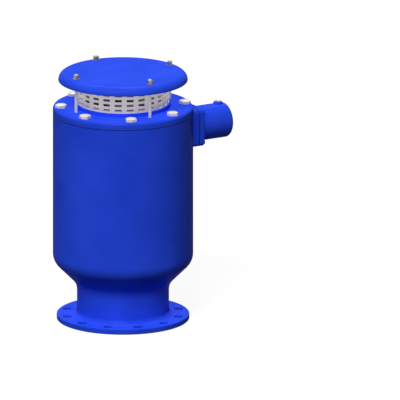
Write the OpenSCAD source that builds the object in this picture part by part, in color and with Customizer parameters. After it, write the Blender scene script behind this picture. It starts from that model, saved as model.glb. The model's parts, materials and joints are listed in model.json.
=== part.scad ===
// Combination air release valve, flanged DN 200 inlet, millimetres.
// Origin: centre of the inlet flange face. +Z is up, +X points along the side chamber.

/* [Inlet flange] */
// Outside diameter of the inlet flange
flange_od = 340; // [330:1:380]
// Thickness of the inlet flange
flange_t = 14; // [12:1:30]
// Chamfer on the flange's edges
flange_edge = 1.5; // [0.5:0.5:4]
// Distance of the flange bolt holes from the flange's edge
bolt_inset = 22.5; // [18:0.5:26]
// Diameter of each flange bolt hole
bolt_hole_d = 23; // [18:1:26]
// Number of flange bolt holes
bolt_hole_count = 12; // [8:4:16]
// Diameter of the inlet bore
inlet_d = 200; // [150:1:215]
// Fillet between flange and neck
flange_fillet = 12; // [6:1:16]

/* [Body] */
// Outside diameter of the neck above the flange
neck_od = 236; // [228:1:250]
// Height of the straight neck above the flange
neck_h = 63; // [40:1:100]
// Outside diameter of the barrel
body_od = 360; // [340:1:420]
// Wall thickness of the barrel and the cone
body_wall = 10; // [8:0.5:14]
// Height of the body's top face above the inlet face
body_h = 544; // [500:1:640]
// Radius of the waist and shoulder fillets
flow_fillet = 42; // [20:1:50]
// Slope of the cone, measured from the valve's axis
cone_angle = 45; // [38:1:55]
// Radial width of the rim that carries the cover
rim_width = 38; // [36:1:44]
// Thickness of that rim at its inner edge
rim_t = 28; // [20:1:40]

/* [Cover] */
// Thickness of the cover plate
cover_t = 18; // [16:1:28]
// Radius on the cover's top edge
cover_edge_r = 8; // [3:0.5:10]
// Thickness of the cover gasket
cover_gasket_t = 2; // [1:0.5:4]
// Number of cover bolts
cover_bolt_count = 8; // [6:2:12]
// Thread diameter of the cover bolts
cover_bolt_d = 16; // [12:1:18]
// Width across flats of the cover bolt heads
cover_bolt_af = 27; // [18:1:30]
// Height of the cover bolt heads
cover_bolt_head_h = 8; // [6:0.5:12]
// Length of the cover bolts below the head
cover_bolt_len = 48; // [40:1:54]
// Distance of the cover bolts from the cover's edge
cover_bolt_inset = 20; // [18:1:22]

/* [Orifice and seat] */
// Diameter of the large orifice
orifice_d = 200; // [160:1:212]
// Radial width of the raised boss round the orifice
boss_width = 22; // [20:1:30]
// Height of that boss
boss_h = 9; // [4:1:14]
// Radius on the mouth of the orifice
mouth_r = 5; // [2:0.5:6]
// Height of the rings that centre the vent screen
spigot_h = 4; // [2:0.5:5]
// Depth of the seat's recess in the cover
seat_recess_h = 6; // [4:0.5:8]
// Radial width of the seat's clamped foot
seat_foot_w = 18; // [15:0.5:20]
// Radial width of the seat's sealing lip
seat_lip_w = 8; // [5:0.5:9]
// Thickness of the ring that clamps the seat
clamp_ring_t = 8; // [5:1:12]

/* [Vent screen and cap] */
// Sheet thickness of the vent screen
screen_t = 2.5; // [1.5:0.5:3]
// Distance of the screen from the boss's edge
screen_inset = 4; // [2:0.5:6]
// Number of slots around the screen
slot_columns = 24; // [18:1:28]
// Number of slot rows
slot_rows = 4; // [3:1:6]
// Height from one slot row to the next
slot_pitch = 13; // [10:0.5:16]
// Width of each slot
slot_w = 18; // [10:0.5:22]
// Height of each slot
slot_h = 7; // [3:0.5:8]
// Height of the plain band below the slot rows
screen_foot_h = 3.5; // [2:0.5:10]
// Height of the plain band above the slot rows
screen_head_h = 8.5; // [4:0.5:14]
// Turn of the slots about the axis, from +X
slot_turn = 9; // [0:1:15]
// Radius of the cap's rounded shoulder
cap_shoulder_r = 19; // [14:0.5:19]
// Height of the cap's upright edge below the shoulder
cap_skirt_h = 0.5; // [0.5:0.5:12]
// Radius on the cap's lower edge
cap_lip_r = 1.5; // [1:0.5:3.5]
// Wall thickness of the cap
cap_wall = 8; // [5:1:10]
// Distance of the cap's edge from the stud circle
cap_overhang = 27.5; // [27:0.5:40]
// Distance of the cap studs from the screen
stud_offset = 20.5; // [12:0.5:24]
// Number of cap studs
stud_count = 4; // [3:1:6]
// Thread diameter of the cap studs
stud_d = 8; // [6:1:10]
// Length of stud inside the cover
stud_depth = 13; // [8:0.5:14]
// Width across flats of the domed cap nuts
cap_nut_af = 13; // [12:0.5:14]
// Height of the cap nuts
cap_nut_h = 12; // [10:0.5:13]
// Radius of the cap nuts' dome
cap_nut_dome_r = 9; // [8.5:0.5:12]
// Metal in the dome above the stud's hole
cap_nut_crown = 3; // [2:0.5:4]
// Outside diameter of the cap washers
cap_washer_od = 16; // [14:0.5:17]
// Thickness of the cap washers
cap_washer_t = 1.6; // [1:0.1:2.5]

/* [Main float and its cage] */
// Lift of the main float from its rest ring to the seat
float_travel = 120; // [80:1:140]
// Thickness of the float's shells
float_shell_t = 2; // [1:0.5:4]
// Height of the weld bead round the float
weld_h = 6; // [3:0.5:10]
// How far the weld bead stands out
weld_t = 1.2; // [0.5:0.1:1.8]
// Number of guide rods
rod_count = 4; // [3:1:6]
// Diameter of the guide rods
rod_d = 12; // [11:0.5:14]
// Diameter of the rods' threaded ends
rod_thread_d = 10; // [8:0.5:10]
// Length of rod thread inside the cover
rod_depth = 11; // [8:0.5:13]
// Metal of the cage rings outside the rods
ring_edge = 2; // [1:0.5:4]
// Running clearance between rods and float
float_gap = 3; // [2:0.5:6]
// Thickness of the ring that the float rests on
rest_ring_t = 8; // [5:1:14]
// How far the rest ring reaches in under the float
rest_reach = 19; // [10:1:28]
// Width across flats of the nuts under the rest ring
rod_nut_af = 16; // [15:0.5:18]
// Height of those nuts
rod_nut_h = 8; // [5:0.5:10]
// Length of rod below those nuts
rod_end = 3; // [1:0.5:6]

/* [Side chamber] */
// Distance of the chamber's axis below the body's top face
chamber_drop = 57; // [54:1:90]
// Outside diameter of the chamber
chamber_od = 90; // [84:1:96]
// Wall thickness of the chamber
chamber_wall = 8; // [6:0.5:9]
// Length of the chamber from its gasket to its end
chamber_len = 105; // [100:1:130]
// Radius on the chamber's end
chamber_end_r = 9; // [4:0.5:12]
// Diameter of the port from the body into the chamber
port_d = 52; // [46:1:56]
// How far the square plates stand out past the chamber's side
plate_margin = 3.75; // [3:0.25:6]
// Thickness of each square plate
plate_t = 13; // [11:1:18]
// Corner radius of the square plates
plate_corner_r = 10; // [8:0.5:12]
// Clear distance of the body's plate from the barrel
plate_standoff = 4; // [2:0.5:10]
// How much smaller the neck behind the body's plate is, all round
plate_neck_inset = 7; // [4:0.5:9]
// Fillet between the chamber's plate and its barrel
plate_fillet = 8; // [4:0.5:8]
// Thickness of the chamber gasket
chamber_gasket_t = 2; // [1:0.5:3]
// Thread diameter of the chamber bolts
chamber_bolt_d = 8; // [6:0.5:8]
// Width across flats of the chamber bolt heads
chamber_bolt_af = 13; // [10:0.5:13]
// Height of the chamber bolt heads
chamber_bolt_head_h = 5.5; // [4:0.5:8]
// Length of the chamber bolts below the head
chamber_bolt_len = 24; // [20:0.5:25]

/* [Vent nozzle and lever] */
// Distance of the nozzle from the chamber's end
nozzle_from_end = 23; // [21:0.5:26]
// Diameter of the nozzle's boss outside
nozzle_boss_d = 24; // [20:1:26]
// Height of the outer boss above the chamber's crown
nozzle_boss_h = 4; // [2:0.5:8]
// Diameter of the nozzle's pad inside
nozzle_pad_d = 22; // [20:1:23]
// Height of the inner pad below the bore's crown
nozzle_pad_h = 7; // [6:0.5:8]
// Thread diameter of the nozzle
nozzle_d = 10; // [8:0.5:10]
// Width across flats of the nozzle's head
nozzle_af = 15; // [13:0.5:17]
// Height of the nozzle's head
nozzle_head_h = 5.5; // [4:0.5:10]
// Thickness of the nozzle's sealing washer
nozzle_washer_t = 1.5; // [1:0.1:2.5]
// Diameter of the small orifice
small_orifice_d = 2.5; // [1:0.1:3]
// Width across flats of the nozzle's lock nut
lock_nut_af = 16; // [15:0.5:17]
// Height of the nozzle's lock nut
lock_nut_h = 6; // [4:0.5:7]
// Length of the nozzle's tapered tip
nozzle_tip_h = 3; // [2:0.5:4]
// Diameter of the nozzle's tip
nozzle_tip_d = 6.4; // [5:0.1:7]
// Thickness of the lever bracket's sheet
bracket_t = 2; // [1.5:0.5:2.5]
// Distance of the pivot from the nozzle's axis
pivot_offset = 9.5; // [9:0.5:9.5]
// Diameter of the pivot pin
pin_d = 5; // [3:0.5:5]
// Diameter of the lever's hub
hub_d = 9; // [8:0.5:9]
// Clear width between the bracket's ears
ear_gap = 21; // [20:0.5:24]
// Radius of the ears round the pin
ear_r = 5; // [4:0.5:5]
// Length of the pin outside each clip
pin_end = 1; // [0.5:0.5:2]
// Thickness of the pin clips
clip_t = 1; // [0.6:0.1:1.5]
// Outside diameter of the pin clips
clip_od = 9; // [8:0.5:10]
// Width of the lever's blade
blade_w = 10; // [9:0.5:12]
// Thickness of the lever's blade
blade_t = 4; // [3:0.5:5]
// Diameter of the rubber seal pad
pad_d = 8; // [6:0.5:8]
// Thickness of the rubber seal pad
pad_t = 4.2; // [3:0.1:5]
// Depth of the seal pad in the blade
pad_sunk = 2; // [1:0.1:2.5]
// Diameter of the lever's end that takes the float stem
stem_boss_d = 9; // [7:0.5:10]
// Distance of the small float's centre from the pivot
float_reach = 54; // [50:0.5:56]
// Thread diameter of the float stem
stem_d = 4; // [3:0.5:5]
// Length of stem inside the lever
stem_depth = 8; // [5:0.5:8]
// Metal left behind the stem's hole
stem_floor = 1; // [0.5:0.5:3]
// Width across flats of the stem's lock nut
stem_nut_af = 7; // [6:0.5:9]
// Height of the stem's lock nut
stem_nut_h = 3; // [2:0.5:4]

/* [Fits] */
// Diametral clearance of bolts in their through holes
bolt_clearance = 1; // [0.5:0.1:2]
// Diametral clearance of threads in their tapped holes
thread_clearance = 0.2; // [0.1:0.05:0.4]
// Depth of tapped holes past the ends of their bolts
tap_spare = 1.5; // [0.5:0.5:2]
// Margin of the spot faces round the chamber bolt heads
spot_margin = 1; // [0.5:0.5:2]
// Radial clearance of rings that locate one another
ring_clearance = 0.3; // [0.2:0.05:0.5]
// Radial clearance between the cage and the body's rim
cage_clearance = 1; // [0.5:0.1:2]
// Diametral running clearance of the lever on its pin
pivot_clearance = 0.1; // [0.04:0.02:0.2]
// Gap that a float keeps to what stops it
stop_gap = 0.3; // [0.2:0.05:0.5]
// Gap between the lever's hub and the ears
side_gap = 0.3; // [0.2:0.05:0.6]
// Gap between the small float and the bore's crown when lifted
crown_gap = 0.5; // [0.3:0.1:2]

/* [Hidden] */
$fn = 96;
cut = 1;
paint = [0.14, 0.27, 0.85];
steel = [0.78, 0.78, 0.80];
plain = [0.45, 0.43, 0.40];
stainless = [0.70, 0.70, 0.74];
rubber = [0.10, 0.10, 0.11];
fibre = [0.24, 0.25, 0.27];

// Body levels and radii
flange_r = flange_od / 2;
neck_r = neck_od / 2;
bolt_circle_r = flange_r - bolt_inset;
inlet_r = inlet_d / 2;
body_r = body_od / 2;
barrel_r = body_r - body_wall;
waist_z = flange_t + neck_h;
fillet_w = flow_fillet * (1 - cos(cone_angle));
fillet_h = flow_fillet * sin(cone_angle);
shoulder_z = waist_z + 2 * fillet_h + (body_r - neck_r - 2 * fillet_w) / tan(cone_angle);
waist_end = [neck_r + fillet_w, waist_z + fillet_h];
shoulder_start = [body_r - fillet_w, shoulder_z - fillet_h];
cavity_start = shoulder_start + body_wall * [-cos(cone_angle), sin(cone_angle)];
bore_top_z = cavity_start[1] - (cavity_start[0] - inlet_r) / tan(cone_angle);
rim_r = body_r - rim_width;
rim_z = body_h - rim_t;

// Cover levels and radii
cover_z = body_h + cover_gasket_t;
cover_top = cover_z + cover_t;
cover_bolt_r = body_r - cover_bolt_inset;
cover_tap_depth = cover_bolt_len - cover_t - cover_gasket_t + tap_spare;
boss_top = cover_top + boss_h;
orifice_r = orifice_d / 2;
boss_r = orifice_r + boss_width;
seat_r = orifice_r;
seat_foot_r = seat_r + seat_foot_w;
seat_lip_r = seat_r + seat_lip_w;
seat_z = cover_z - clamp_ring_t;

// Screen, cap and studs
screen_r = boss_r - screen_inset;
spigot_r = screen_r - screen_t - ring_clearance;
screen_h = screen_foot_h + (slot_rows - 1) * slot_pitch + slot_h + screen_head_h;
cap_z = boss_top + screen_h;
cap_h = cap_lip_r + cap_skirt_h + cap_shoulder_r;
cap_top = cap_z + cap_h;
stud_r = screen_r + stud_offset;
cap_r = stud_r + cap_overhang;
cap_nut_z = cap_top + cap_washer_t;
cap_nut_hole_h = cap_nut_h - cap_nut_crown;

// Cage and main float
cage_r = rim_r - cage_clearance;
rod_r = cage_r - ring_edge - rod_d / 2;
float_r = rod_r - rod_d / 2 - float_gap;
rest_r = float_r - rest_reach;
float_closed_z = seat_z - sqrt(pow(float_r + stop_gap, 2) - seat_r * seat_r);
float_z = float_closed_z - float_travel;
rest_z = float_z - sqrt(pow(float_r + stop_gap, 2) - rest_r * rest_r);
rod_turn = 45;

// Side chamber
chamber_z = body_h - chamber_drop;
chamber_r = chamber_od / 2;
chamber_bore_r = chamber_r - chamber_wall;
chamber_bore_len = chamber_len - chamber_wall;
plate_size = chamber_od + 2 * plate_margin;
plate_bolt = plate_size / 2 - plate_corner_r;
pad_x = body_r + plate_standoff;
gasket_x = pad_x + plate_t;
chamber_x = gasket_x + chamber_gasket_t;
chamber_bolt_x = chamber_x + plate_t;
chamber_tap_depth = chamber_bolt_len - plate_t - chamber_gasket_t + tap_spare;
spot_face_d = chamber_bolt_af / cos(30) + 2 * spot_margin;

// Nozzle and lever
nozzle_x = chamber_x + chamber_len - nozzle_from_end;
nozzle_seat_z = chamber_z + chamber_r + nozzle_boss_h;
nozzle_head_z = nozzle_seat_z + nozzle_washer_t;
bore_crown_z = chamber_z + chamber_bore_r;
nozzle_pad_z = bore_crown_z - nozzle_pad_h;
bracket_z = nozzle_pad_z - bracket_t;
lock_nut_z = bracket_z - lock_nut_h;
nozzle_tip_z = lock_nut_z - nozzle_tip_h;
pivot_x = nozzle_x + pivot_offset;
pivot_z = nozzle_tip_z - stop_gap - (pad_t - pad_sunk) - blade_t / 2;
small_float_r = bore_crown_z - crown_gap - pivot_z;
small_float_floor = chamber_z - chamber_bore_r + stop_gap;
lever_drop = asin((pivot_z - small_float_floor - small_float_r) / float_reach);
stem_end = float_reach - small_float_r - stem_nut_h;
pin_len = ear_gap + 2 * (bracket_t + clip_t + pin_end);

// Part of a disc round the arc between two angles, reaching back past the arc's chord
module disc_cap(centre, r, from, to) {
    back_x = r * cos((to - from) / 2) / 2;
    translate(centre)
        rotate((from + to) / 2 + 180)
            intersection() {
                circle(r);
                translate([-2 * r, -r]) square([2 * r - back_x, 2 * r]);
            }
}

// Square with round corners, centred
module rounded_square(size, r) {
    core = size - 2 * r;
    square([size, core], center = true);
    square([core, size], center = true);
    for (x = [-1, 1], y = [-1, 1]) translate([x, y] * core / 2) circle(r);
}

// Flat ring standing on the height z
module ring(inner_r, outer_r, h, z) {
    translate([0, 0, z])
        linear_extrude(h)
            difference() {
                circle(outer_r);
                circle(inner_r);
            }
}

// Hexagonal prism by its width across flats
module hexagon(af, h) {
    cylinder(d = af / cos(30), h = h, $fn = 6);
}

// Copies on a circle about the Z axis
module around(count, r, turn = 0) {
    for (i = [0:count - 1])
        rotate(turn + i * 360 / count) translate([r, 0, 0]) children();
}

// Places a shape drawn on Z so that it points along the side chamber from x
module side(x) {
    translate([x, 0, chamber_z]) rotate([90, 0, 90]) children();
}

// Copies at the four corners of the square plates
module plate_corners() {
    for (y = [-1, 1], z = [-1, 1])
        translate([y * plate_bolt, z * plate_bolt, 0]) children();
}

// Frame of the lever: origin at the pivot, the arm along -X as when the nozzle is shut, turned to rest
module lever_frame() {
    translate([pivot_x, 0, pivot_z]) rotate([0, -lever_drop, 0]) children();
}

module body_outline() {
    difference() {
        union() {
            polygon([
                [0, 0], [flange_r - flange_edge, 0], [flange_r, flange_edge],
                [flange_r, flange_t - flange_edge], [flange_r - flange_edge, flange_t],
                [neck_r + flange_fillet, flange_t], [neck_r, flange_t + flange_fillet],
                [neck_r, waist_z], waist_end, shoulder_start, [body_r, shoulder_z],
                [body_r, body_h], [0, body_h]
            ]);
            disc_cap([body_r - flow_fillet, shoulder_z], flow_fillet, -cone_angle, 0);
        }
        disc_cap([neck_r + flange_fillet, flange_t + flange_fillet], flange_fillet, 180, 270);
        disc_cap([neck_r + flow_fillet, waist_z], flow_fillet, 180 - cone_angle, 180);
    }
}

module cavity_outline() {
    polygon([
        [0, -cut], [inlet_r, -cut], [inlet_r, bore_top_z], cavity_start, [barrel_r, shoulder_z],
        [barrel_r, rim_z - (barrel_r - rim_r)], [rim_r, rim_z], [rim_r, body_h + cut],
        [0, body_h + cut]
    ]);
    disc_cap([body_r - flow_fillet, shoulder_z], flow_fillet - body_wall, -cone_angle, 0);
}

module valve_body() {
    color(paint)
        difference() {
            union() {
                rotate_extrude() body_outline();
                side(pad_x) linear_extrude(plate_t) rounded_square(plate_size, plate_corner_r);
                side(0)
                    linear_extrude(pad_x + cut)
                        rounded_square(plate_size - 2 * plate_neck_inset, plate_corner_r);
            }
            rotate_extrude() cavity_outline();
            around(bolt_hole_count, bolt_circle_r, 180 / bolt_hole_count)
                translate([0, 0, -cut]) cylinder(d = bolt_hole_d, h = flange_t + flange_fillet + cut);
            around(cover_bolt_count, cover_bolt_r, 180 / cover_bolt_count)
                translate([0, 0, body_h - cover_tap_depth])
                    cylinder(d = cover_bolt_d + thread_clearance, h = cover_tap_depth + cut);
            side(0) cylinder(d = port_d, h = gasket_x + cut);
            side(gasket_x - chamber_tap_depth)
                plate_corners()
                    cylinder(d = chamber_bolt_d + thread_clearance, h = chamber_tap_depth + cut);
        }
}

module cover_gasket() {
    color(fibre)
        difference() {
            ring(rim_r, body_r, cover_gasket_t, body_h);
            around(cover_bolt_count, cover_bolt_r, 180 / cover_bolt_count)
                translate([0, 0, body_h - cut])
                    cylinder(d = cover_bolt_d + bolt_clearance, h = cover_gasket_t + 2 * cut);
        }
}

module cover_outline() {
    spigot_top = boss_top + spigot_h;
    recess_r = seat_foot_r + ring_clearance;
    polygon([
        [recess_r, cover_z], [body_r, cover_z], [body_r, cover_top - cover_edge_r],
        [body_r - cover_edge_r, cover_top], [boss_r, cover_top], [boss_r, boss_top],
        [spigot_r, boss_top], [spigot_r, spigot_top], [orifice_r + mouth_r, spigot_top],
        [orifice_r, spigot_top - mouth_r], [orifice_r, cover_z + seat_recess_h],
        [recess_r, cover_z + seat_recess_h]
    ]);
    disc_cap([body_r - cover_edge_r, cover_top - cover_edge_r], cover_edge_r, 0, 90);
    disc_cap([orifice_r + mouth_r, spigot_top - mouth_r], mouth_r, 90, 180);
}

module top_cover() {
    color(paint)
        difference() {
            rotate_extrude() cover_outline();
            around(cover_bolt_count, cover_bolt_r, 180 / cover_bolt_count)
                translate([0, 0, cover_z - cut])
                    cylinder(d = cover_bolt_d + bolt_clearance, h = cover_t + 2 * cut);
            around(stud_count, stud_r)
                translate([0, 0, cover_top - stud_depth])
                    cylinder(d = stud_d + thread_clearance, h = stud_depth + cut);
            around(rod_count, rod_r, rod_turn)
                translate([0, 0, cover_z - cut])
                    cylinder(d = rod_thread_d + thread_clearance, h = rod_depth + 2 * cut);
        }
}

module cover_bolts() {
    color(steel)
        around(cover_bolt_count, cover_bolt_r, 180 / cover_bolt_count) {
            translate([0, 0, cover_top]) hexagon(cover_bolt_af, cover_bolt_head_h);
            translate([0, 0, cover_top - cover_bolt_len]) cylinder(d = cover_bolt_d, h = cover_bolt_len);
        }
}

module orifice_seat() {
    color(rubber)
        rotate_extrude()
            polygon([
                [seat_r, seat_z], [seat_lip_r, seat_z], [seat_lip_r, cover_z], [seat_foot_r, cover_z],
                [seat_foot_r, cover_z + seat_recess_h], [seat_r, cover_z + seat_recess_h]
            ]);
}

module seat_clamp_ring() {
    color(stainless)
        difference() {
            ring(seat_lip_r + ring_clearance, cage_r, clamp_ring_t, seat_z);
            around(rod_count, rod_r, rod_turn)
                translate([0, 0, seat_z - cut])
                    cylinder(d = rod_thread_d + thread_clearance, h = clamp_ring_t + 2 * cut);
        }
}

module guide_rods() {
    thread_bottom = rest_z - rest_ring_t - rod_nut_h - rod_end;
    color(stainless)
        around(rod_count, rod_r, rod_turn) {
            translate([0, 0, rest_z]) cylinder(d = rod_d, h = seat_z - rest_z);
            translate([0, 0, thread_bottom])
                cylinder(d = rod_thread_d, h = cover_z + rod_depth - thread_bottom);
        }
}

module float_rest_ring() {
    color(stainless)
        difference() {
            ring(rest_r, cage_r, rest_ring_t, rest_z - rest_ring_t);
            around(rod_count, rod_r, rod_turn)
                translate([0, 0, rest_z - rest_ring_t - cut])
                    cylinder(d = rod_thread_d + thread_clearance, h = rest_ring_t + 2 * cut);
        }
}

module rest_ring_nuts() {
    color(stainless)
        around(rod_count, rod_r, rod_turn)
            translate([0, 0, rest_z - rest_ring_t - rod_nut_h])
                difference() {
                    hexagon(rod_nut_af, rod_nut_h);
                    translate([0, 0, -cut])
                        cylinder(d = rod_thread_d + thread_clearance, h = rod_nut_h + 2 * cut);
                }
}

// Half of the hollow main float, above or below its middle
module float_shell(half) {
    translate([0, 0, float_z])
        rotate([half == "upper" ? 0 : 180, 0, 0])
            rotate_extrude()
                intersection() {
                    difference() {
                        circle(float_r);
                        circle(float_r - float_shell_t);
                    }
                    square(float_r + cut);
                }
}

module main_float_upper_shell() {
    color(stainless) float_shell("upper");
}

module main_float_lower_shell() {
    color(stainless) float_shell("lower");
}

module main_float_weld_bead() {
    color(steel) ring(float_r, float_r + weld_t, weld_h, float_z - weld_h / 2);
}

module vent_screen() {
    row_z = boss_top + screen_foot_h + slot_h / 2;
    color(stainless)
        difference() {
            ring(screen_r - screen_t, screen_r, screen_h, boss_top);
            for (row = [0:slot_rows - 1])
                translate([0, 0, row_z + row * slot_pitch])
                    around(slot_columns, screen_r - screen_t / 2, slot_turn)
                        cube([screen_t + 2 * cut, slot_w, slot_h], center = true);
        }
}

module cap_outline() {
    shoulder = [cap_r - cap_shoulder_r, cap_top - cap_shoulder_r];
    difference() {
        union() {
            polygon([
                [0, cap_z], [cap_r - cap_lip_r, cap_z], [cap_r, cap_z + cap_lip_r],
                [cap_r, shoulder[1]], [shoulder[0], cap_top], [0, cap_top]
            ]);
            disc_cap([cap_r - cap_lip_r, cap_z + cap_lip_r], cap_lip_r, -90, 0);
            disc_cap(shoulder, cap_shoulder_r, 0, 90);
        }
        union() {
            polygon([
                [0, cap_z - cut], [cap_r - cap_wall, cap_z - cut], [cap_r - cap_wall, shoulder[1]],
                [shoulder[0], cap_top - cap_wall], [0, cap_top - cap_wall]
            ]);
            disc_cap(shoulder, cap_shoulder_r - cap_wall, 0, 90);
        }
    }
    // Ring under the cap that presses on the screen and centres it
    polygon([
        [orifice_r + mouth_r, cap_top - cap_wall + cut], [orifice_r + mouth_r, cap_z - spigot_h],
        [spigot_r, cap_z - spigot_h], [spigot_r, cap_z], [boss_r, cap_z],
        [boss_r, cap_top - cap_wall + cut]
    ]);
}

module weather_cap() {
    color(paint)
        difference() {
            rotate_extrude() cap_outline();
            around(stud_count, stud_r)
                translate([0, 0, cap_z]) cylinder(d = stud_d + bolt_clearance, h = cap_h + cut);
        }
}

module cap_studs() {
    bottom = cover_top - stud_depth;
    top = cap_nut_z + cap_nut_hole_h - tap_spare;
    color(steel)
        around(stud_count, stud_r) translate([0, 0, bottom]) cylinder(d = stud_d, h = top - bottom);
}

module cap_washers() {
    color(plain)
        around(stud_count, stud_r)
            ring((stud_d + bolt_clearance) / 2, cap_washer_od / 2, cap_washer_t, cap_top);
}

module cap_nuts() {
    color(plain)
        around(stud_count, stud_r)
            translate([0, 0, cap_nut_z])
                difference() {
                    intersection() {
                        hexagon(cap_nut_af, cap_nut_h);
                        translate([0, 0, cap_nut_h - cap_nut_dome_r]) sphere(cap_nut_dome_r);
                    }
                    translate([0, 0, -cut])
                        cylinder(d = stud_d + thread_clearance, h = cap_nut_hole_h + cut);
                }
}

module chamber_outline() {
    difference() {
        union() {
            polygon([
                [0, 0], [plate_size, 0], [plate_size, plate_t], [chamber_r + plate_fillet, plate_t],
                [chamber_r, plate_t + plate_fillet], [chamber_r, chamber_len - chamber_end_r],
                [chamber_r - chamber_end_r, chamber_len], [0, chamber_len]
            ]);
            disc_cap([chamber_r - chamber_end_r, chamber_len - chamber_end_r], chamber_end_r, 0, 90);
        }
        disc_cap([chamber_r + plate_fillet, plate_t + plate_fillet], plate_fillet, 180, 270);
        translate([0, -cut]) square([chamber_bore_r, chamber_bore_len + cut]);
    }
}

// Barrel and plate in one, the plate trimmed square out of the turned shape, spot-faced for its bolts
module chamber_shell() {
    difference() {
        side(chamber_x)
            intersection() {
                rotate_extrude() chamber_outline();
                linear_extrude(chamber_len + cut) rounded_square(plate_size, plate_corner_r);
            }
        side(chamber_bolt_x) plate_corners() cylinder(d = spot_face_d, h = plate_fillet + cut);
    }
}

module side_chamber() {
    in_wall = chamber_wall / 4;
    color(paint)
        difference() {
            union() {
                chamber_shell();
                translate([nozzle_x, 0, bore_crown_z + in_wall])
                    cylinder(d = nozzle_boss_d, h = nozzle_seat_z - bore_crown_z - in_wall);
                translate([nozzle_x, 0, nozzle_pad_z])
                    cylinder(d = nozzle_pad_d, h = nozzle_pad_h + 2 * in_wall);
            }
            translate([nozzle_x, 0, nozzle_pad_z - cut])
                cylinder(d = nozzle_d + thread_clearance, h = nozzle_seat_z - nozzle_pad_z + 2 * cut);
            side(chamber_x - cut)
                plate_corners() cylinder(d = chamber_bolt_d + bolt_clearance, h = plate_t + 2 * cut);
        }
}

module chamber_gasket() {
    color(fibre)
        side(gasket_x)
            linear_extrude(chamber_gasket_t)
                difference() {
                    rounded_square(plate_size, plate_corner_r);
                    circle(chamber_bore_r);
                    plate_corners() circle(d = chamber_bolt_d + bolt_clearance);
                }
}

module chamber_bolts() {
    color(paint)
        side(chamber_bolt_x)
            plate_corners() {
                hexagon(chamber_bolt_af, chamber_bolt_head_h);
                translate([0, 0, -chamber_bolt_len]) cylinder(d = chamber_bolt_d, h = chamber_bolt_len);
            }
}

module vent_nozzle() {
    nozzle_len = nozzle_head_z + nozzle_head_h - nozzle_tip_z;
    color(stainless)
        translate([nozzle_x, 0, 0])
            difference() {
                union() {
                    translate([0, 0, nozzle_head_z]) hexagon(nozzle_af, nozzle_head_h);
                    translate([0, 0, lock_nut_z]) cylinder(d = nozzle_d, h = nozzle_head_z - lock_nut_z);
                    translate([0, 0, nozzle_tip_z])
                        cylinder(d1 = nozzle_tip_d, d2 = nozzle_d, h = nozzle_tip_h);
                }
                translate([0, 0, nozzle_tip_z - cut])
                    cylinder(d = small_orifice_d, h = nozzle_len + 2 * cut);
            }
}

module nozzle_washer() {
    color(rubber)
        translate([nozzle_x, 0, 0])
            ring((nozzle_d + thread_clearance) / 2, nozzle_af / 2, nozzle_washer_t, nozzle_seat_z);
}

module nozzle_lock_nut() {
    color(stainless)
        translate([nozzle_x, 0, lock_nut_z])
            difference() {
                hexagon(lock_nut_af, lock_nut_h);
                translate([0, 0, -cut])
                    cylinder(d = nozzle_d + thread_clearance, h = lock_nut_h + 2 * cut);
            }
}

// Outline of one bracket ear, seen along the pin
module ear_outline() {
    difference() {
        union() {
            circle(ear_r);
            translate([-ear_r, 0]) square([2 * ear_r, nozzle_pad_z - pivot_z]);
        }
        circle(d = pin_d + thread_clearance / 2);
    }
}

module lever_bracket() {
    outer_w = ear_gap + 2 * bracket_t;
    top_start = nozzle_x - nozzle_pad_d / 2;
    color(stainless) {
        difference() {
            translate([top_start, -outer_w / 2, bracket_z])
                cube([pivot_x + ear_r - top_start, outer_w, bracket_t]);
            translate([nozzle_x, 0, bracket_z - cut])
                cylinder(d = nozzle_d + thread_clearance, h = bracket_t + 2 * cut);
        }
        for (y = [-outer_w / 2, ear_gap / 2])
            translate([pivot_x, y + bracket_t, pivot_z])
                rotate([90, 0, 0]) linear_extrude(bracket_t) ear_outline();
    }
}

module pivot_pin() {
    color(steel)
        translate([pivot_x, pin_len / 2, pivot_z]) rotate([90, 0, 0]) cylinder(d = pin_d, h = pin_len);
}

module pin_clips() {
    clip_y = ear_gap / 2 + bracket_t;
    color(steel)
        for (y = [-clip_y, clip_y + clip_t])
            translate([pivot_x, y, pivot_z])
                rotate([90, 0, 0]) ring((pin_d + thread_clearance / 2) / 2, clip_od / 2, clip_t, 0);
}

module lever_arm() {
    hub_len = ear_gap - 2 * side_gap;
    boss_start = stem_end - stem_depth - stem_floor;
    color(stainless)
        lever_frame()
            difference() {
                union() {
                    translate([0, hub_len / 2, 0]) rotate([90, 0, 0]) cylinder(d = hub_d, h = hub_len);
                    translate([-stem_end, -blade_w / 2, -blade_t / 2]) cube([stem_end, blade_w, blade_t]);
                    translate([-boss_start, 0, 0])
                        rotate([0, -90, 0]) cylinder(d = stem_boss_d, h = stem_end - boss_start);
                }
                translate([0, ear_gap / 2, 0])
                    rotate([90, 0, 0]) cylinder(d = pin_d + pivot_clearance, h = ear_gap);
                translate([-pivot_offset, 0, blade_t / 2 - pad_sunk])
                    cylinder(d = pad_d + thread_clearance, h = pad_sunk + blade_t);
                translate([-stem_end + stem_depth, 0, 0])
                    rotate([0, -90, 0]) cylinder(d = stem_d + thread_clearance, h = stem_depth + cut);
            }
}

module seal_pad() {
    color(rubber)
        lever_frame()
            translate([-pivot_offset, 0, blade_t / 2 - pad_sunk]) cylinder(d = pad_d, h = pad_t);
}

module small_float() {
    color(steel)
        lever_frame() {
            translate([-float_reach, 0, 0]) sphere(small_float_r);
            translate([-stem_end + stem_depth - cut, 0, 0])
                rotate([0, -90, 0]) cylinder(d = stem_d, h = float_reach - stem_end + stem_depth - cut);
        }
}

module float_stem_nut() {
    color(stainless)
        lever_frame()
            translate([-stem_end, 0, 0])
                rotate([0, -90, 0])
                    difference() {
                        hexagon(stem_nut_af, stem_nut_h - stop_gap);
                        translate([0, 0, -cut])
                            cylinder(d = stem_d + thread_clearance, h = stem_nut_h + 2 * cut);
                    }
}

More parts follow.
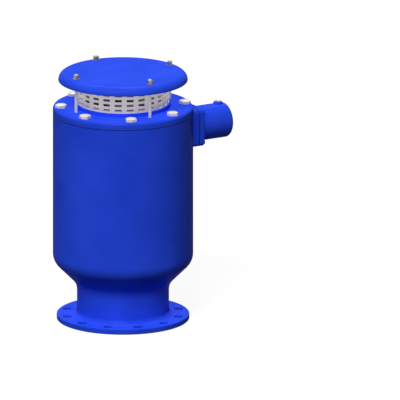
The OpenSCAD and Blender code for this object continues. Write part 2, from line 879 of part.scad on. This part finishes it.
valve_body();
cover_gasket();
top_cover();
cover_bolts();
orifice_seat();
seat_clamp_ring();
guide_rods();
float_rest_ring();
rest_ring_nuts();
main_float_upper_shell();
main_float_lower_shell();
main_float_weld_bead();
vent_screen();
weather_cap();
cap_studs();
cap_washers();
cap_nuts();
side_chamber();
chamber_gasket();
chamber_bolts();
vent_nozzle();
nozzle_washer();
nozzle_lock_nut();
lever_bracket();
pivot_pin();
pin_clips();
lever_arm();
seal_pad();
small_float();
float_stem_nut();
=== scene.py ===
"""Looks of a combination air release valve: epoxy-painted castings, bright fasteners, slotted vent screen."""

import json
import math

import bmesh
import bpy
import numpy as np
from mathutils import Matrix, Vector

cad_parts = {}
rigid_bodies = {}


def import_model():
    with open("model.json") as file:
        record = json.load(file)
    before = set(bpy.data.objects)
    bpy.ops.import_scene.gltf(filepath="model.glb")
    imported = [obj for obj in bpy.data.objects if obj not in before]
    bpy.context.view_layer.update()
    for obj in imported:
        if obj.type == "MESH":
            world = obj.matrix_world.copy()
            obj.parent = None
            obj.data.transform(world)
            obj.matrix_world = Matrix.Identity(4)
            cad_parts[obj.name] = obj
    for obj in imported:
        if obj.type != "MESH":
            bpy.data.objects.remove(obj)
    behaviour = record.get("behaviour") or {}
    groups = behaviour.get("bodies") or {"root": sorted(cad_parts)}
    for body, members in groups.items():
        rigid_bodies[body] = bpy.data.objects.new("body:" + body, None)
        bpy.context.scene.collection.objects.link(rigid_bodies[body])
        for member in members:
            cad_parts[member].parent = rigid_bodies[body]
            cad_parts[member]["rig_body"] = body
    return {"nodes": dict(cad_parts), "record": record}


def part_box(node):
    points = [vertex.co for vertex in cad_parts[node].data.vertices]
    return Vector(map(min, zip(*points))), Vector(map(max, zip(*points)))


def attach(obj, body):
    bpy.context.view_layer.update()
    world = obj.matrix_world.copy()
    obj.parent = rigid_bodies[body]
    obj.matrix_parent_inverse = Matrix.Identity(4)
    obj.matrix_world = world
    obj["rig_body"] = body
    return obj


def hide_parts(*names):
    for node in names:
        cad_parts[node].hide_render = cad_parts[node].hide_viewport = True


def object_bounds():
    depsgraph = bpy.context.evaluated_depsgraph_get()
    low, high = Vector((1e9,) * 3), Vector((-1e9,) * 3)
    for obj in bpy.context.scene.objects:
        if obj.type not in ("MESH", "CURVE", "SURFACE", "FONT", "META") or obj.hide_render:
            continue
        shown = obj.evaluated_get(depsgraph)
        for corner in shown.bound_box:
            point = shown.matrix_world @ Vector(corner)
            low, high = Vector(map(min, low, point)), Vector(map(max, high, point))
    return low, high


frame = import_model()
cad_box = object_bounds()

# View of the photograph: an orthographic picture, in pixels of its 400 x 400 frame
AZIMUTH = math.radians(-30)
ELEVATION = math.radians(15)
METRES_PER_PIXEL = 0.002564
PICTURE_SIDE = 400
ORIGIN_PIXEL = (123.0, 317.8)
CAMERA_DISTANCE = 4.0

# Studio lights: turn from the camera, elevation, strength, angular size, and whether it casts shadows
LIGHTS = {
    "key": (math.radians(-16), math.radians(46), 1.00, math.radians(25), True),
    "key_fill": (math.radians(-16), math.radians(46), 1.30, math.radians(25), False),
    "top_fill": (math.radians(-16), math.radians(84), 0.45, math.radians(40), False),
    "back_fill": (math.radians(180), math.radians(48), 1.20, math.radians(25), False),
}
AMBIENT = 0.09

# Floor: side and gap under the object in metres, glow and grey that are seen, grey that lights the object
FLOOR_SIZE = 14.0
FLOOR_DROP = 0.0005
FLOOR_GLOW = 0.72
FLOOR_SHADE = 0.30
FLOOR_BOUNCE = 0.06

# Linear colours, darkest and lightest of each finish
PAINT = ((0.018, 0.068, 0.79), (0.028, 0.087, 0.92))
ZINC = ((0.68, 0.64, 0.56), (0.88, 0.84, 0.74))
PLAIN = ((0.21, 0.19, 0.165), (0.42, 0.385, 0.34))
STAINLESS = ((0.78, 0.71, 0.57), (0.96, 0.88, 0.70))
RUBBER = ((0.012, 0.012, 0.013), (0.028, 0.028, 0.030))
FIBRE = ((0.004, 0.008, 0.070), (0.008, 0.016, 0.110))
PLASTIC = ((0.72, 0.71, 0.67), (0.84, 0.83, 0.79))

# Range that most of a noise falls in, and its detail where it makes gloss and relief
NOISE_LOW = 0.3
NOISE_HIGH = 0.7
FINE_DETAIL = 2

# Bare turned metal: colour, shine, and in metres how far the bore goes past the clamp ring and the joint
BARE_METAL = (0.30, 0.26, 0.21)
BARE_METALLIC = 0.4
BORE_MARGIN = 0.015
BORE_DEPTH = 0.045

# Fasteners: sides and points of a ring, rings of a dome, slope and circle of a chamfer, sharpest smooth edge
HEX_SIDES = 6
RING_STEPS = 48
DOME_STEPS = 8
CHAMFER_SLOPE = math.tan(math.radians(30))
CHAMFER_SHARE = 0.94
SMOOTH_ANGLE = math.radians(35)

# Edges in metres, the raised face under a bolt's head first, and how near points and levels count as the same
WASHER_FACE = 0.0004
EDGE_BREAK = 0.0006
COUNTERSINK = 0.0014
CAP_EDGE = 0.0015
SAME_POINT = 1e-5
SAME_LEVEL = 2e-5


# Materials

def piece_space(tree, stretch):
    """Coordinates in metres that stay with the piece, stretched per axis."""
    coordinates = tree.nodes.new("ShaderNodeTexCoord")
    mapping = tree.nodes.new("ShaderNodeMapping")
    mapping.inputs["Scale"].default_value = stretch
    tree.links.new(coordinates.outputs["Object"], mapping.inputs["Vector"])
    return mapping.outputs["Vector"]


def noise(tree, place, scale, detail):
    node = tree.nodes.new("ShaderNodeTexNoise")
    node.inputs["Scale"].default_value = scale
    node.inputs["Detail"].default_value = detail
    tree.links.new(place, node.inputs["Vector"])
    return node.outputs["Fac"]


def spread(tree, value, low, high, start=0, end=1):
    """Maps the range from start to end onto the range from low to high."""
    node = tree.nodes.new("ShaderNodeMapRange")
    node.inputs["From Min"].default_value = start
    node.inputs["From Max"].default_value = end
    node.inputs["To Min"].default_value = low
    node.inputs["To Max"].default_value = high
    tree.links.new(value, node.inputs["Value"])
    return node.outputs["Result"]


def shade_between(tree, value, *ends):
    """Colour between two ends, each a colour or a socket that gives one."""
    node = tree.nodes.new("ShaderNodeMix")
    node.data_type = "RGBA"
    for socket, end in zip((socket for socket in node.inputs if socket.type == "RGBA"), ends):
        if isinstance(end, bpy.types.NodeSocket):
            tree.links.new(end, socket)
        else:
            socket.default_value = (*end, 1)
    tree.links.new(value, node.inputs["Factor"])
    return next(socket for socket in node.outputs if socket.type == "RGBA")


def combine(tree, operation, first, second):
    """Result of an operation on a socket and on another socket or a number."""
    node = tree.nodes.new("ShaderNodeMath")
    node.operation = operation
    tree.links.new(first, node.inputs[0])
    if isinstance(second, bpy.types.NodeSocket):
        tree.links.new(second, node.inputs[1])
    else:
        node.inputs[1].default_value = second
    return node.outputs["Value"]


def inside(tree, radius, level):
    """1 at points nearer to the valve's axis than a radius and above a level, else 0."""
    distance = tree.nodes.new("ShaderNodeVectorMath")
    distance.operation = "LENGTH"
    tree.links.new(piece_space(tree, (1, 1, 0)), distance.inputs[0])
    place = tree.nodes.new("ShaderNodeSeparateXYZ")
    tree.links.new(piece_space(tree, (1, 1, 1)), place.inputs["Vector"])
    near = combine(tree, "LESS_THAN", distance.outputs["Value"], radius)
    high = combine(tree, "GREATER_THAN", place.outputs["Z"], level)
    return combine(tree, "MULTIPLY", near, high)


def surface(name, colours, tone, gloss, reliefs, stretch=(1, 1, 1), sockets=()):
    """Finish with a mottled colour, an uneven gloss and layers of fine relief.

    tone is the colour's noise scale and detail, gloss the roughness range and its noise scale, and each
    relief its noise scale, strength and depth in metres. sockets sets constants on the shader.
    """
    material = bpy.data.materials.new(name)
    material.use_nodes = True
    tree = material.node_tree
    shader = tree.nodes["Principled BSDF"]
    place = piece_space(tree, stretch)
    mottle = spread(tree, noise(tree, place, *tone), 0, 1, NOISE_LOW, NOISE_HIGH)
    tree.links.new(shade_between(tree, mottle, *colours), shader.inputs["Base Color"])
    smooth, rough, scale = gloss
    uneven = spread(tree, noise(tree, place, scale, FINE_DETAIL), smooth, rough, NOISE_LOW, NOISE_HIGH)
    tree.links.new(uneven, shader.inputs["Roughness"])
    normal = None
    for scale, strength, depth in reliefs:
        bump = tree.nodes.new("ShaderNodeBump")
        bump.inputs["Strength"].default_value = strength
        bump.inputs["Distance"].default_value = depth
        tree.links.new(noise(tree, place, scale, FINE_DETAIL), bump.inputs["Height"])
        if normal:
            tree.links.new(normal, bump.inputs["Normal"])
        normal = bump.outputs["Normal"]
    tree.links.new(normal, shader.inputs["Normal"])
    for socket, value in sockets:
        shader.inputs[socket].default_value = value
    return material


def blue_paint():
    """Epoxy coat: the waves of the casting under it, and a fine orange peel."""
    return surface(
        "blue_paint", PAINT, tone=(9, 4), gloss=(0.34, 0.44, 30),
        reliefs=[(45, 0.10, 0.0006), (380, 0.12, 0.0003)],
        sockets=[("Specular IOR Level", 0.0), ("Coat Weight", 0.05), ("Coat Roughness", 0.26)],
    )


def turned_paint(name, radius, level):
    """The castings' paint, turned bare within a radius of the valve's axis and above a level."""
    material = blue_paint()
    material.name = name
    tree = material.node_tree
    shader = tree.nodes["Principled BSDF"]
    bare = inside(tree, radius, level)
    paint = shader.inputs["Base Color"].links[0].from_socket
    tree.links.new(shade_between(tree, bare, paint, BARE_METAL), shader.inputs["Base Color"])
    tree.links.new(spread(tree, bare, 0, BARE_METALLIC), shader.inputs["Metallic"])
    return material


def zinc_steel():
    """Zinc plate with a fine mottle."""
    return surface(
        "zinc_steel", ZINC, tone=(220, 4), gloss=(0.38, 0.52, 500), reliefs=[(1500, 0.08, 0.0001)],
        sockets=[("Metallic", 0.20)],
    )


def plain_steel():
    """Oiled steel without a coat."""
    return surface(
        "plain_steel", PLAIN, tone=(300, 4), gloss=(0.30, 0.44, 600), reliefs=[(1500, 0.10, 0.0001)],
        sockets=[("Metallic", 0.85)],
    )


def stainless_steel():
    """Satin grain that runs round the valve's axis."""
    return surface(
        "stainless_steel", STAINLESS, tone=(30, 4), gloss=(0.32, 0.48, 30), reliefs=[(30, 0.06, 0.0001)],
        stretch=(1, 1, 60), sockets=[("Metallic", 0.30)],
    )


def seal_rubber():
    """Black moulded rubber."""
    return surface(
        "seal_rubber", RUBBER, tone=(60, 3), gloss=(0.58, 0.78, 200), reliefs=[(900, 0.15, 0.0002)],
    )


def gasket_sheet():
    """Pressed fibre sheet, its edge flushed with the coat's blue."""
    return surface(
        "gasket_sheet", FIBRE, tone=(240, 5), gloss=(0.70, 0.90, 400), reliefs=[(700, 0.25, 0.0002)],
        stretch=(1, 1, 8), sockets=[("Specular IOR Level", 0.1)],
    )


def float_plastic():
    """Pale moulded plastic."""
    return surface(
        "float_plastic", PLASTIC, tone=(40, 3), gloss=(0.40, 0.52, 150), reliefs=[(800, 0.05, 0.0001)],
    )


FINISHES = {
    make.__name__: make()
    for make in (
        blue_paint, zinc_steel, plain_steel, stainless_steel, seal_rubber, gasket_sheet, float_plastic
    )
}
SLOTS = {row["node"]: row["material_slot"] for row in frame["record"]["subparts"]}


def dress_cad_nodes():
    """Gives every CAD node the finish of its material slot, bare inside the screen and the bore under it."""
    bore_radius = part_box("seat_clamp_ring")[1].x + BORE_MARGIN
    bore_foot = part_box("cover_gasket")[0].z - BORE_DEPTH
    turned = {
        "top_cover": turned_paint("cover_paint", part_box("vent_screen")[1].x, cad_box[0].z),
        "valve_body": turned_paint("body_paint", bore_radius, bore_foot),
    }
    for node, slot in SLOTS.items():
        mesh = frame["nodes"][node].data
        mesh.materials.clear()
        mesh.materials.append(turned.get(node, FINISHES[slot]))


# Fasteners, measured on the CAD solids that they stand for

def islands(node):
    """Points of each separate solid of a CAD node."""
    bm = bmesh.new()
    bm.from_mesh(frame["nodes"][node].data)
    bmesh.ops.remove_doubles(bm, verts=bm.verts, dist=SAME_POINT)
    found, seen = [], set()
    for start in bm.verts:
        if start in seen:
            continue
        group, queue = [], [start]
        seen.add(start)
        while queue:
            vert = queue.pop()
            group.append(vert.co.copy())
            for edge in vert.link_edges:
                other = edge.other_vert(vert)
                if other not in seen:
                    seen.add(other)
                    queue.append(other)
        found.append(group)
    bm.free()
    return found


def middle(points):
    """Centre of the box round some points."""
    return (np.min(points, axis=0) + np.max(points, axis=0)) / 2


def upright(points):
    """Place of a fastener on a vertical axis, turned so that a corner points away from the valve's axis."""
    x, y, _ = middle(points)
    return Matrix.Translation((x, y, 0)) @ Matrix.Rotation(math.atan2(y, x), 4, "Z")


def sideways(points):
    """Place of a fastener on an axis along +X."""
    _, y, z = middle(points)
    along_x = Matrix(((0, 0, 1, 0), (1, 0, 0, 0), (0, 1, 0, 0), (0, 0, 0, 1)))
    return Matrix.Translation((0, y, z)) @ along_x


class Turned:
    """Heights along a fastener's axis and distances from it, of the points of its solid."""

    def __init__(self, points, place):
        local = np.array([place.inverted() @ point for point in points])
        self.height = local[:, 2]
        self.distance = np.hypot(local[:, 0], local[:, 1])

    def distances(self, level):
        return self.distance[np.abs(self.height - level) < SAME_LEVEL]

    def heights(self, distance):
        return self.height[np.abs(self.distance - distance) < SAME_LEVEL]


def flat(z):
    """The same height at any distance."""
    return lambda r: z


def chamfer(z, flat_r, rise):
    """Height over a hexagon whose corners a cone cuts outside flat_r, rising or, with -1, falling."""
    return lambda r: z + rise * (r - flat_r) * CHAMFER_SLOPE


def dome(top, dome_r):
    """Height of a ball's cap of radius dome_r at a distance from the axis."""
    return lambda r: top - dome_r + math.sqrt(dome_r * dome_r - r * r)


def circle(r, z):
    """Round ring at a height."""
    return [
        Vector((r * math.cos(a), r * math.sin(a), z))
        for a in (2 * math.pi * i / RING_STEPS for i in range(RING_STEPS))
    ]


def hex_ring(apothem, z_at):
    """Ring round a hexagon, at the height that z_at gives for each point's distance from the axis."""
    sector = 2 * math.pi / HEX_SIDES
    ring = []
    for i in range(RING_STEPS):
        a = 2 * math.pi * i / RING_STEPS
        r = apothem / math.cos(a % sector - sector / 2)
        ring.append(Vector((r * math.cos(a), r * math.sin(a), z_at(r))))
    return ring


def across(corner_r):
    """Half the width across flats of a hexagon."""
    return corner_r * math.cos(math.pi / HEX_SIDES)


def skin(bm, rings, place, loop=False):
    """Quads between successive rings, closed by end faces or back to the first ring."""
    made = [[bm.verts.new(place @ point) for point in ring] for ring in rings]
    pairs = list(zip(made, made[1:]))
    if loop:
        pairs.append((made[-1], made[0]))
    for low, high in pairs:
        for i in range(len(low)):
            j = (i + 1) % len(low)
            bm.faces.new((low[i], low[j], high[j], high[i]))
    if not loop:
        bm.faces.new(reversed(made[0]))
        bm.faces.new(made[-1])


def finish_piece(bm, name, node):
    """Turns a mesh into the piece that stands for a CAD node, with that node's finish and body."""
    bmesh.ops.recalc_face_normals(bm, faces=bm.faces)
    mesh = bpy.data.meshes.new(name)
    bm.to_mesh(mesh)
    bm.free()
    mesh.shade_smooth()
    mesh.set_sharp_from_angle(angle=SMOOTH_ANGLE)
    mesh.materials.append(FINISHES[SLOTS[node]])
    piece = bpy.data.objects.new(name, mesh)
    bpy.context.scene.collection.objects.link(piece)
    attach(piece, frame["nodes"][node]["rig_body"])
    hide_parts(node)


def hex_bolts(name, node, place_of):
    """Hexagon bolts with a washer face, chamfered heads and a broken edge at the end."""
    bm = bmesh.new()
    for points in islands(node):
        place = place_of(points)
        solid = Turned(points, place)
        low, top = solid.height.min(), solid.height.max()
        shank_r, corner_r = solid.distances(low).max(), solid.distances(top).max()
        head = solid.heights(corner_r).min()
        apothem = across(corner_r)
        flat_r = apothem * CHAMFER_SHARE
        rings = [
            circle(shank_r - EDGE_BREAK, low),
            circle(shank_r, low + EDGE_BREAK),
            circle(shank_r, head),
            circle(flat_r, head),
            circle(flat_r, head + WASHER_FACE),
            hex_ring(apothem, flat(head + WASHER_FACE)),
            hex_ring(apothem, chamfer(top, flat_r, -1)),
            circle(flat_r, top),
        ]
        skin(bm, rings, place)
    finish_piece(bm, name, node)


def domed_cap_nuts():
    """Hexagon nuts with a blind bore, a chamfered foot and a dome over the flats."""
    bm = bmesh.new()
    for points in islands("cap_nuts"):
        place = upright(points)
        solid = Turned(points, place)
        low, top = solid.height.min(), solid.height.max()
        bore_r, corner_r = solid.distances(low).min(), solid.distances(low).max()
        drop = top - solid.heights(corner_r).max()
        over = dome(top, (drop * drop + corner_r * corner_r) / (2 * drop))
        apothem = across(corner_r)
        flat_r = apothem * CHAMFER_SHARE
        rings = [
            circle(bore_r, solid.heights(bore_r).max()),
            circle(bore_r, low + EDGE_BREAK),
            circle(bore_r + EDGE_BREAK, low),
            circle(flat_r, low),
            hex_ring(apothem, chamfer(low, flat_r, 1)),
            hex_ring(apothem, over),
        ]
        rings += [circle(r, over(r)) for r in (flat_r * (1 - k / DOME_STEPS) for k in range(DOME_STEPS))]
        skin(bm, rings, place)
    finish_piece(bm, "domed_cap_nuts", "cap_nuts")


def countersunk_nozzle():
    """Nozzle with a chamfered hexagon, a tapered tip and a bore countersunk at its top."""
    bm = bmesh.new()
    for points in islands("vent_nozzle"):
        place = upright(points)
        solid = Turned(points, place)
        tip, top = solid.height.min(), solid.height.max()
        bore_r, corner_r = solid.distances(top).min(), solid.distances(top).max()
        head = solid.heights(corner_r).min()
        thread_r = solid.distances(head).min()
        apothem = across(corner_r)
        flat_r = apothem * CHAMFER_SHARE
        rings = [
            circle(bore_r, tip),
            circle(solid.distances(tip).max(), tip),
            circle(thread_r, solid.heights(thread_r).min()),
            circle(thread_r, head),
            circle(flat_r, head),
            hex_ring(apothem, chamfer(head, flat_r, 1)),
            hex_ring(apothem, chamfer(top, flat_r, -1)),
            circle(flat_r, top),
            circle(bore_r + COUNTERSINK, top),
            circle(bore_r, top - COUNTERSINK),
        ]
        skin(bm, rings, place, loop=True)
    finish_piece(bm, "countersunk_nozzle", "vent_nozzle")


# Cap, a copy of its CAD solid with another lower edge

def rounded_cap():
    """The weather cap with a small round on its lower edge, which ends level with the screen's top."""
    bm = bmesh.new()
    bm.from_mesh(frame["nodes"]["weather_cap"].data)
    bmesh.ops.remove_doubles(bm, verts=bm.verts, dist=SAME_POINT)
    low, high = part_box("weather_cap")
    centre_r, centre_z = high.x - CAP_EDGE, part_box("vent_screen")[1].z + CAP_EDGE
    for vert in bm.verts:
        r = vert.co.xy.length
        if r > centre_r - CAP_EDGE and vert.co.z < centre_z:
            angle = math.pi / 2 * (vert.co.z - centre_z) / (centre_z - low.z)
            vert.co.xy *= (centre_r + CAP_EDGE * math.cos(angle)) / r
            vert.co.z = centre_z + CAP_EDGE * math.sin(angle)
    finish_piece(bm, "rounded_weather_cap", "weather_cap")


# Studio

def view_axes(azimuth, elevation):
    """Right, up and forward of a view."""
    right = Vector((math.cos(azimuth), math.sin(azimuth), 0))
    ahead = Vector((-math.sin(azimuth), math.cos(azimuth), 0))
    up = ahead * math.sin(elevation) + Vector((0, 0, 1)) * math.cos(elevation)
    forward = ahead * math.cos(elevation) - Vector((0, 0, 1)) * math.sin(elevation)
    return right, up, forward


def make_camera():
    right, up, forward = view_axes(AZIMUTH, ELEVATION)
    centre = PICTURE_SIDE / 2
    aim = right * (centre - ORIGIN_PIXEL[0]) + up * (ORIGIN_PIXEL[1] - centre)
    camera = bpy.data.objects.new("camera", bpy.data.cameras.new("camera"))
    camera.data.type = "ORTHO"
    camera.data.ortho_scale = PICTURE_SIDE * METRES_PER_PIXEL
    camera.location = aim * METRES_PER_PIXEL - forward * CAMERA_DISTANCE
    camera.rotation_euler = forward.to_track_quat("-Z", "Y").to_euler()
    bpy.context.scene.collection.objects.link(camera)
    bpy.context.scene.camera = camera


def make_lights():
    """Soft distant lights, each shining the way a camera at its azimuth and elevation would look."""
    for name, (turn, elevation, strength, angle, casts_shadow) in LIGHTS.items():
        _, _, forward = view_axes(AZIMUTH + turn, elevation)
        light = bpy.data.lights.new(name, "SUN")
        light.energy = strength
        light.angle = angle
        light.use_shadow = casts_shadow
        lamp = bpy.data.objects.new(name, light)
        lamp.rotation_euler = forward.to_track_quat("-Z", "Y").to_euler()
        bpy.context.scene.collection.objects.link(lamp)


def seen_directly(tree):
    """1 for rays that show the background: from the camera, or by reflection or through glass."""
    path = tree.nodes.new("ShaderNodeLightPath")
    total = path.outputs["Is Camera Ray"]
    for name in ("Is Glossy Ray", "Is Transmission Ray"):
        total = combine(tree, "MAXIMUM", total, path.outputs[name])
    return total


def make_world():
    world = bpy.data.worlds.new("studio")
    world.use_nodes = True
    bpy.context.scene.world = world
    tree = world.node_tree
    background = tree.nodes["Background"]
    background.inputs["Color"].default_value = (1, 1, 1, 1)
    tree.links.new(spread(tree, seen_directly(tree), AMBIENT, 1), background.inputs["Strength"])


def grey_diffuse(tree, shade):
    """Matt grey shader."""
    node = tree.nodes.new("ShaderNodeBsdfDiffuse")
    node.inputs["Color"].default_value = (shade, shade, shade, 1)
    return node.outputs["BSDF"]


def floor_material():
    """White where it is seen, with a faint shadow, and a weak bounce onto the object."""
    material = bpy.data.materials.new("floor")
    material.use_nodes = True
    tree = material.node_tree
    tree.nodes.remove(tree.nodes["Principled BSDF"])
    glow = tree.nodes.new("ShaderNodeEmission")
    glow.inputs["Strength"].default_value = FLOOR_GLOW
    seen = tree.nodes.new("ShaderNodeAddShader")
    tree.links.new(glow.outputs["Emission"], seen.inputs[0])
    tree.links.new(grey_diffuse(tree, FLOOR_SHADE), seen.inputs[1])
    mix = tree.nodes.new("ShaderNodeMixShader")
    tree.links.new(seen_directly(tree), mix.inputs["Fac"])
    tree.links.new(grey_diffuse(tree, FLOOR_BOUNCE), mix.inputs[1])
    tree.links.new(seen.outputs[0], mix.inputs[2])
    tree.links.new(mix.outputs[0], tree.nodes["Material Output"].inputs["Surface"])
    return material


def make_floor():
    bm = bmesh.new()
    bmesh.ops.create_grid(bm, x_segments=1, y_segments=1, size=FLOOR_SIZE / 2)
    mesh = bpy.data.meshes.new("floor")
    bm.to_mesh(mesh)
    bm.free()
    mesh.materials.append(floor_material())
    floor = bpy.data.objects.new("floor", mesh)
    floor.location.z = cad_box[0].z - FLOOR_DROP
    bpy.context.scene.collection.objects.link(floor)


dress_cad_nodes()
hex_bolts("hex_cover_bolts", "cover_bolts", upright)
hex_bolts("hex_chamber_bolts", "chamber_bolts", sideways)
domed_cap_nuts()
countersunk_nozzle()
rounded_cap()
make_camera()
make_lights()
make_world()
make_floor()
bpy.context.scene.view_settings.view_transform = "Standard"
